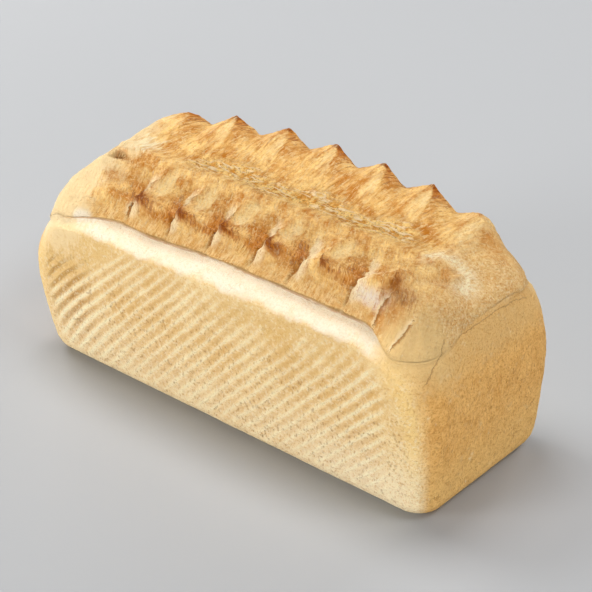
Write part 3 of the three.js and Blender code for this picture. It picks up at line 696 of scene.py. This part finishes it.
# The back teeth: a pale face left of each crest, browned at the rim on the way down to the right.
def toothMarks(f):
    onBack = f.dome * (f.y >= 0) * smooth(*p.teethX, f.x)
    upper = smooth(*p.upperRings, f.ring)
    face = smooth(1.5, -4, f.toEdge)
    rightSide = smooth(-0.5, 1.5, f.fromCrest) * (f.toEdge > 0)
    fall = rightSide * np.exp(-np.maximum(f.fromCrest, 0) / 16)
    rim = hill(f.ring, p.rimRing, 0.75 + 0.5 * fall)
    leftEdge = hill(f.toEdge, 0.8, 1.3) * upper
    crest = hill(f.fromCrest, 0.3, 0.7) * upper * (f.toEdge > 0)
    tip = hill(f.ring, p.tipRing, 0.55) * smooth(0.7, 1, f.teeth) * (1 - 0.6 * smooth(*p.lastTipX, f.x))
    golden = np.maximum.reduce([fall * upper * 0.8, leftEdge * 0.75, crest * 0.5, tip])
    return {
        "brown": fall * rim * 0.95 * onBack,
        "burnt": (tip * 0.75 + fall * hill(f.ring, p.tipRing, 0.4) * 0.6) * onBack,
        "golden": golden * onBack, "pale": face * upper * 0.8 * onBack * f.onTeeth,
    }


def lineMarks(f):  # thin lines: signed mm from each, and how strong it is there
    gap = np.where(f.after < f.before, -f.after, f.before)
    # painted shade: the grooves between the lobes on the flank are painted dark, where shade falls in them
    grooveShade = smooth(5, 2, np.abs(gap)) * between(f.outward, 0.45, 0.9, 1.6, 1.98) * smooth(0.2, 0.5, f.side)
    # painted shade along the crease between the band and the dome
    nearCrease = hill(f.level, creaseLevel, 1) + f.dome * hill(f.ring, 0, 1)
    endGap, endLine = nearLines(f.worldY, f.z, s.endCracks, p.endCrackWidth)
    # beside the tears on the flank: painted shade on one side and a painted highlight on the lip
    tearGap, tearLine = nearLines(f.worldX, f.z, s.frontTears, p.frontTearWidth)
    onEnd, onFlank = f.worldX > p.endCrackX, (f.worldY < p.frontTearY) * f.dome
    return {
        "grooveGap": np.clip(gap, -6, 6),
        "grooveLine": grooveShade * f.dome * (f.y < 0) * smooth(*p.lobesX, f.x),
        "creaseGap": np.where(f.dome > 0, f.ring * p.ringWidth, (f.level - creaseLevel) * p.levelHeight),
        "creaseLine": between(f.x, *p.creaseX) * nearCrease,
        "crackGap": np.where(onEnd, endGap, tearGap),
        "crackLine": endLine * onEnd,
        "tearLine": tearLine * onFlank * ~onEnd,
    }


def markLoaf(mesh, f):
    f.levelZ = f.z + rimDrop(f)  # height as if the rim were level
    f.wander = sway(f.x, f.y + f.levelZ)
    marks = {**wallMarks(f), **domeMarks(f), **lineMarks(f), **lobeMarks(f)}
    for name, values in toothMarks(f).items():
        marks[name] = np.maximum(marks[name], values)
    for name, values in marks.items():
        layer = mesh.attributes.new(name, "FLOAT", "POINT")
        layer.data.foreach_set("value", np.asarray(values, np.float32))
    return list(marks)


relief = {  # mm
    "Rib Depth": 0.9, "Pore Depth": 0.45, "Pore Size": 2.5, "Fibre Depth": 0.5, "Crack Depth": 0.5,
    "Torn Depth": 1.1, "Lump Depth": 0.9, "Grain Depth": 0.35, "Sink": 0.6,
}


def newTree(name, sizes):
    tree = bpy.data.node_groups.new(name, "GeometryNodeTree")
    tree.interface.new_socket("Geometry", in_out="OUTPUT", socket_type="NodeSocketGeometry")
    tree.interface.new_socket("Geometry", in_out="INPUT", socket_type="NodeSocketGeometry")
    for key, value in sizes.items():
        socket = tree.interface.new_socket(key, in_out="INPUT", socket_type="NodeSocketFloat")
        socket.default_value = value
    tree.interface.new_socket("Finish", in_out="INPUT", socket_type="NodeSocketMaterial")
    bench = Bench(tree)
    start = tree.nodes.new("NodeGroupInput")
    given = {socket.name: Wire(bench, socket) for socket in start.outputs if socket.name}
    return tree, bench, given


def closeTree(bench, geometry, finish):
    geometry = bench.add("RealizeInstances", {}, geometry)
    geometry = bench.add("SetMaterial", {}, Geometry=geometry, Material=finish)
    end = bench.tree.nodes.new("NodeGroupOutput")
    bench.tree.links.new(geometry.socket, end.inputs["Geometry"])


def named(bench, name):
    return bench.add("InputNamedAttribute", {"data_type": "FLOAT"}, name)


def ribHeight(bench, spot, turn):  # 0..1 up each rib, which wanders a little
    wander = bench.noise(spot, 20) - 0.5
    return ((turn + 0.35 * wander) * (2 * math.pi)).math("COSINE") * 0.5 + 0.5


def poreCells(bench, spot, size):  # small pits that are longer than they are wide
    bent = bench.add("VectorMath", {"operation": "MULTIPLY"}, spot, (1.0, 1.0, 0.62))
    return bench.add("TexVoronoi", {}, Vector=bent, Scale=1 / size, out="Distance")


def reliefTree():
    tree, bench, given = newTree("crustRelief", relief)
    spot = bench.add("VectorMath", {"operation": "SCALE"}, bench.add("InputPosition"), Scale=1 / mm)
    normal = bench.add("InputNormal", {}, out="Normal")
    along, across, up = [bench.add("SeparateXYZ", {}, spot, out=axis) for axis in "XYZ"]
    ease, noise, wall = bench.ease, bench.noise, named(bench, "wall")

    # ribs die out here and there and are beaded with grains
    patchy = ease(noise(spot, 12), 0.3, 0.65) * 0.6 + 0.55
    beads = noise(spot, 2.4, 1.0) * 0.9 + 0.55
    ribs = ribHeight(bench, spot, named(bench, "ribTurn")) ** 2.2
    ribShare = named(bench, "ribShare") * named(bench, "ribStrength")
    height = ribs * given["Rib Depth"] * ribShare * patchy * beads

    # pits of the tin-baked sides
    chosen = ease(noise(spot, 7), 0.46, 0.6)
    pits = ease(poreCells(bench, spot, given["Pore Size"]), 0.34, 0.12) * chosen * named(bench, "pores")
    height = height - pits * given["Pore Depth"]

    # fibres that the risen dough stretched
    fine = bench.add("CombineXYZ", {}, named(bench, "weave"), across * 0.22, up * 0.22)
    fibre = noise(fine, 2.2, 3.0) - 0.5
    height = height + fibre * given["Fibre Depth"] * 2 * (1 - wall) * (1 + named(bench, "stretched"))

    # the torn middle
    shred = bench.add("CombineXYZ", {}, along * 0.2, across, up)
    ridge = (noise(shred, 3.4, 3.0, 0.6) - 0.5).math("ABSOLUTE") * 2
    height = height + (0.3 - ridge) * given["Torn Depth"] * named(bench, "torn")

    # lumps and grains
    height = height + (noise(spot, 24, 1.0) - 0.5) * given["Lump Depth"] * 2
    height = height + (noise(spot, 7, 2.0) - 0.5) * given["Lump Depth"] * 1.5 * (1 - wall)
    height = height + (noise(spot, 3.4, 2.0) - 0.5) * given["Fibre Depth"] * 1.4 * (1 - wall)
    height = height + (noise(spot, 3.0, 2.0) - 0.5) * given["Grain Depth"] * 2

    crack = ease(named(bench, "crackGap").math("ABSOLUTE"), 1.3, 0.2) * named(bench, "crackLine")
    height = height - crack * given["Crack Depth"] - given["Sink"]
    foot = ease(up, 0.2, 7)  # the bottom stays flat
    push = bench.add("VectorMath", {"operation": "SCALE"}, normal, Scale=height * foot * mm)
    moved = bench.add("SetPosition", {}, Geometry=given["Geometry"], Offset=push)
    closeTree(bench, moved, given["Finish"])
    return tree


def throughTree(thing, tree, finish):  # the tree's result as a plain mesh, and the modifier gone again
    modifier = thing.modifiers.new(tree.name, "NODES")
    modifier.node_group = tree
    sockets = {item.name: item.identifier for item in tree.interface.items_tree if item.in_out == "INPUT"}
    modifier[sockets["Finish"]] = finish
    bpy.context.view_layer.update()
    graph = bpy.context.evaluated_depsgraph_get()
    made = bpy.data.meshes.new_from_object(thing.evaluated_get(graph), depsgraph=graph)
    thing.modifiers.clear()
    return made


crustTones = {
    # the tin-baked sides and ends
    "side": "#f4d8a2", "sideTan": "#eac486", "sideRib": "#faf4d2", "sideValley": "#d8a35b",
    "sidePlain": "#e5bd79", "scorched": "#b5803a", "band": "#f9efdc", "corner": "#f5d088",
    # the pit tone is painted shade in the pits
    "end": "#f4c074", "endDark": "#dba055", "endPale": "#e6bb7a", "pitShade": "#b87a34", "speck": "#d49c52",
    # the crease and crack tones are painted shade, along the crease and in the cracks
    # the flour tone is flour, and also painted light low on the sides
    "flourAndPaintedLight": "#fbeecd", "creaseShade": "#c4853a", "crack": "#b08350", "cream": "#f4d8a6", "cornerSkin": "#f0cb8c",
    # the dome
    "dome": "#c2761b", "domeLight": "#ffd689", "flank": "#ffdc9e", "flankTan": "#d8973f", "pale": "#f9dda4",
    # the bank tone is a painted highlight, on the lobes' banks and on the tears' lips
    # the groove tone is painted shade in the grooves
    "bank": "#ffe8bc", "golden": "#c97a1e", "brown": "#b1600e", "burnt": "#853f06", "grooveShade": "#96580f",
    "greyEnd": "#e4bd83", "whitish": "#fff4e6", "stretched": "#fbedc6", "shade": "#8a591e",
    # the tear tone is painted shade beside the tears
    "tearShade": "#a1672a", "torn": "#db9436", "tornPale": "#ffdfae", "tornDark": "#9a5f22",
}
crustSizes = {  # mm
    "grains": {"broad": 34, "middling": 11, "small": 3.8, "grain": 2.0, "speck": 1.1},
    "fibre": 1.15, "streak": 3.6, "pore": 1.7, "threadGap": 2.5, "threadWave": 10, "bump": 1.7,
}
crustShine = {"Roughness": 0.7, "Specular IOR Level": 0.12}


# What the crust is laid with: the loaf's marks, noises of each size, and tones over tones.
class Crust:
    def __init__(self, bench, markNames):
        self.bench, self.ease = bench, bench.ease
        self.marks = SimpleNamespace(**{
            name: bench.add("Attribute", {"attribute_name": name}, out="Fac") for name in markNames})
        place = bench.add("TexCoord", {}, out="Object")
        self.spot = spot = bench.add("VectorMath", {"operation": "SCALE"}, place, Scale=1 / mm)
        self.along, self.across, self.up = [bench.add("SeparateXYZ", {}, spot, out=axis) for axis in "XYZ"]
        for name, size in crustSizes["grains"].items():
            setattr(self, name, bench.noise(spot, size, 3.0, 0.6))
        fine = bench.add("CombineXYZ", {}, self.marks.weave, self.across * 0.2, self.up * 0.2)
        self.fibre = bench.noise(fine, crustSizes["fibre"], 3.0, 0.6)
        self.streak = bench.noise(fine, crustSizes["streak"], 3.0, 0.6)
        self.uneven = (self.fibre - 0.5) * 0.7 + (self.streak - 0.5) * 0.8 + (self.small - 0.5) * 0.4
        self.pores, self.strand = self.poresAt(), self.strandAt()

    def over(self, share, under, tone):
        under, tone = [one if isinstance(one, Wire) else paint(crustTones[one]) for one in (under, tone)]
        return self.bench.add("Mix", {"data_type": "RGBA"}, share, under, tone)

    def layers(self, tone, *layers):  # each is a share and the tone that it lays on
        for share, name in layers:
            tone = self.over(share, tone, name)
        return tone

    def poresAt(self):
        cells = poreCells(self.bench, self.spot, crustSizes["pore"])
        chosen = self.ease(self.bench.noise(self.spot, 4), 0.4, 0.58) * self.marks.pores
        return self.ease(cells, 0.42, 0.12) * chosen * (1 - 0.6 * self.marks.cornerRidge)

    def strandAt(self):  # wavy threads along the tear, broken here and there
        long = self.bench.add("CombineXYZ", {}, self.along * 0.3, self.across, self.up)
        waving = (self.bench.noise(long, 5, 2.0) - 0.5) * crustSizes["threadWave"] + (self.speck - 0.5) * 1.4
        thread = (self.across + waving) * (1 / crustSizes["threadGap"])
        thread = (thread.math("FRACT") - 0.5).math("ABSOLUTE")
        return self.ease(thread, 0.25, 0.11) * self.ease(self.bench.noise(long, 2.6, 2.0), 0.4, 0.5)


def sideTone(c):  # pale ribs and tan valleys, painted lighter low down as painted light, a creamy band on top, and the plain ends
    ease, m, middling, small, grain, speck = c.ease, c.marks, c.middling, c.small, c.grain, c.speck
    ribs, endFace = ribHeight(c.bench, c.spot, m.ribTurn), m.endFace
    ribShare = m.ribShare * m.ribStrength
    panel = c.layers(
        "side",
        (ease(middling * 0.5 + c.broad * 0.5, 0.4, 0.62), "sideTan"),
        (m.plainTan * 0.8, "sidePlain"),
        (ease(ribs + (speck - 0.5) * 1.6, 0.6, 1.05) * ribShare * 0.9, "sideRib"),
        (ease(ribs + (small - 0.5) * 1.2 + (speck - 0.5) * 0.8, 0.5, 0.0) * ribShare * 0.75, "sideValley"),
        (m.scorched * ease(ribs + (grain - 0.5) * 2, 0.7, 0.1) * 0.8, "scorched"),
        (m.cornerRidge * 0.8, "corner"))
    end = c.layers(
        "end",
        (ease(small * 0.4 + middling * 0.3 + speck * 0.3, 0.4, 0.64), "endDark"),
        (m.endPale * 0.9, "endPale"))
    # painted light: the sides are painted lighter towards the floor, where the light falls off
    paintedLowLight = ease(c.up, 60, 8) * (1 - endFace) * (ease(c.along, 20, 110) * 0.35 + 0.3)
    bandEdge = ease(m.band + (middling - 0.5) * 0.9 + (small - 0.5) * 0.5, 0.0, 1.15)
    return c.layers(
        panel,
        (endFace, end),
        (m.tanPatch * ease(middling, 0.3, 0.55) * 0.85, "sidePlain"),
        (ease(c.up, 50, 10) * endFace * 0.4, "corner"),
        (paintedLowLight, "flourAndPaintedLight"),
        # painted shade in the pits
        (c.pores * (0.4 - endFace * 0.25), "pitShade"),
        (ease(speck, 0.5, 0.66) * (0.5 + endFace * 0.25), "speck"),
        (ease(grain, 0.5, 0.34) * (1 - endFace) * 0.35, "flourAndPaintedLight"),
        (bandEdge * ease(m.band, 0, 0.4) * 0.85, "band"),
        (m.band * ease(speck * 0.6 + small * 0.4, 0.48, 0.62) * 0.3, "sideTan"))


def tornTone(c):
    return c.layers(
        "torn",
        (c.ease(c.small, 0.38, 0.58), "domeLight"),
        (c.ease(c.speck, 0.53, 0.63) * 0.6, "tornDark"),
        (c.strand, "tornPale"))


def domeTone(c):  # golden crust, browned where it stands up
    ease, m, uneven, fibre, streak = c.ease, c.marks, c.uneven, c.fibre, c.streak
    small, grain, speck, brown, golden = c.small, c.grain, c.speck, m.brown, m.golden
    flank = c.over(ease(streak * 0.5 + fibre * 0.5, 0.4, 0.6) * 0.8, "flank", "flankTan")
    pale = c.over(ease(fibre, 0.42, 0.6) * 0.7, "pale", "domeLight")
    greyEnd = c.layers(
        "greyEnd",
        (ease(speck * 0.6 + grain * 0.4, 0.44, 0.6) * 0.55, "speck"),
        (ease(speck, 0.46, 0.36) * 0.4, "flourAndPaintedLight"))
    patched = c.layers(
        "dome",
        (ease(fibre * 0.3 + streak * 0.26 + small * 0.1 + c.middling * 0.34, 0.41, 0.57), "domeLight"),
        (m.flank * 0.8, flank),
        (m.greyEnd * 0.85, greyEnd),
        (ease(m.lastFall + uneven, 0.1, 0.9) * 0.65, "golden"),
        (ease(golden * 0.9 + uneven * 1.5, 0.15, 1.0) * 0.9, "golden"),
        (ease(m.pale * 0.95 + uneven * 1.3, 0.15, 1.0) * 0.9, pale),
        # the painted highlight on the banks
        (ease(m.bank + uneven * 0.9, 0.15, 0.85) * 0.8, "bank"),
        # the painted highlight on the swirl at the right end
        (m.swirl * ease(fibre + small, 0.7, 1.1), "stretched"),
        (m.whitish * ease(fibre + m.whitish, 0.6, 1.1) * 0.8, "whitish"),
        (ease(m.shade + uneven, 0.2, 0.8) * 0.9, "shade"),
        (ease(brown * 0.95 + uneven * ease(brown, 0.0, 0.3) * 2.4, 0.12, 0.95), "brown"),
        (ease(m.burnt + uneven * 1.2, 0.25, 0.85) * 0.9, "burnt"))
    # single fibres, dark and light, fainter on the pale places
    strength = 0.6 * (1 - (m.pale * 0.7 + m.flank * 0.3).math("MAXIMUM", m.greyEnd * 0.65))
    darkFibre = c.over(ease(brown + golden, 0.2, 0.9), "golden", "burnt")
    lightFibre = c.over(ease(brown, 0.1, 0.7), "pale", "golden")
    # painted shade in the grooves on the flank
    grooveShade = ease(m.grooveGap + (small - 0.5) * 1.5, -2.4, -0.1) * ease(m.grooveGap, 0.7, 0.1)
    return c.layers(
        patched,
        (ease(fibre, 0.52, 0.64) * strength, darkFibre),
        (ease(fibre, 0.47, 0.36) * strength, lightFibre),
        (grooveShade * m.grooveLine * (0.4 + small * 0.8), "grooveShade"),
        (ease(speck, 0.52, 0.66) * 0.4, "golden"),
        (ease(grain, 0.48, 0.32) * (1 - brown) * 0.45, "pale"),
        (ease(m.torn + (small - 0.5) * 1.4 + (streak - 0.5), 0.3, 0.85), tornTone(c)))


def crustTone(c):  # the side and the dome, what lies over both, and the thin lines
    ease, m, uneven, small = c.ease, c.marks, c.uneven, c.small
    # the crease is painted darker: painted shade along it
    creaseShade = ease((m.creaseGap + (small - 0.5) * 0.8).math("ABSOLUTE"), 1.0, 0.2)
    gap, tearLine = m.crackGap + (c.speck - 0.5) * 0.9 + (small - 0.5) * 4, m.tearLine
    return c.layers(
        domeTone(c),
        (m.wall, sideTone(c)),
        (ease(m.cornerSkin + uneven * 0.6, 0.0, 0.9) * 0.8, "cornerSkin"),
        (ease(m.cream + uneven * 1.7, 0.1, 0.9) * (0.85 - m.shade * 0.85), "cream"),
        (ease(m.stretched + (c.fibre - 0.5) * 3, 0.4, 1.1) * 0.8, "stretched"),
        (ease(m.knot, 0.1, 0.7) * 0.7, "band"),
        (ease(m.knot, -0.15, -0.8) * 0.7, "shade"),
        (creaseShade * m.creaseLine * ease(c.middling, 0.3, 0.6) * 0.6, "creaseShade"),
        # painted shade in the cracks round the right end
        (ease(gap.math("ABSOLUTE"), 0.5, 0.12) * m.crackLine * 0.75, "crack"),
        # painted shade beside each tear, and a painted highlight on its lip
        (ease(gap, 2.0, 0.2) * ease(gap, -0.8, 0.0) * tearLine * 0.85, "tearShade"),
        (ease(gap, -3.0, -0.6) * ease(gap, 0.1, -0.3) * tearLine * 0.6, "bank"))


def crustBumps(c):
    grains = (c.speck - 0.5) * 0.8 + (c.grain - 0.5) * 1.0 + (c.small - 0.5) * 0.8
    fibres = (c.fibre - 0.5) * 1.4 * (1 - c.marks.wall)
    threads = (c.strand * 0.9 + (c.speck - 0.5) * 0.8) * c.marks.torn
    return grains + fibres - c.pores * 0.5 + threads


def crustFinish(markNames):
    finish = bpy.data.materials.new("bakedCrust")
    finish.use_nodes = True
    tree = finish.node_tree
    shader = tree.nodes["Principled BSDF"]
    for name, value in crustShine.items():
        shader.inputs[name].default_value = value
    bench = Bench(tree)
    crust = Crust(bench, markNames)
    bump = bench.add("Bump", {}, Strength=1.0, Distance=crustSizes["bump"] * mm, Height=crustBumps(crust))
    tree.links.new(crustTone(crust).socket, shader.inputs["Base Color"])
    tree.links.new(bump.socket, shader.inputs["Normal"])
    return finish


def makeLoaf():
    mesh, field = loafMesh()
    markNames = markLoaf(mesh, field)
    rough = bpy.data.objects.new("loafRough", mesh)
    bpy.context.scene.collection.objects.link(rough)
    crust = crustFinish(markNames)
    made = throughTree(rough, reliefTree(), crust)
    bpy.data.objects.remove(rough)
    loaf = bpy.data.objects.new("tinLoaf", made)
    bpy.context.scene.collection.objects.link(loaf)
    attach(loaf, "root")
    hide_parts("loaf")
    print("loaf", len(made.polygons), "faces")


makeLoaf()
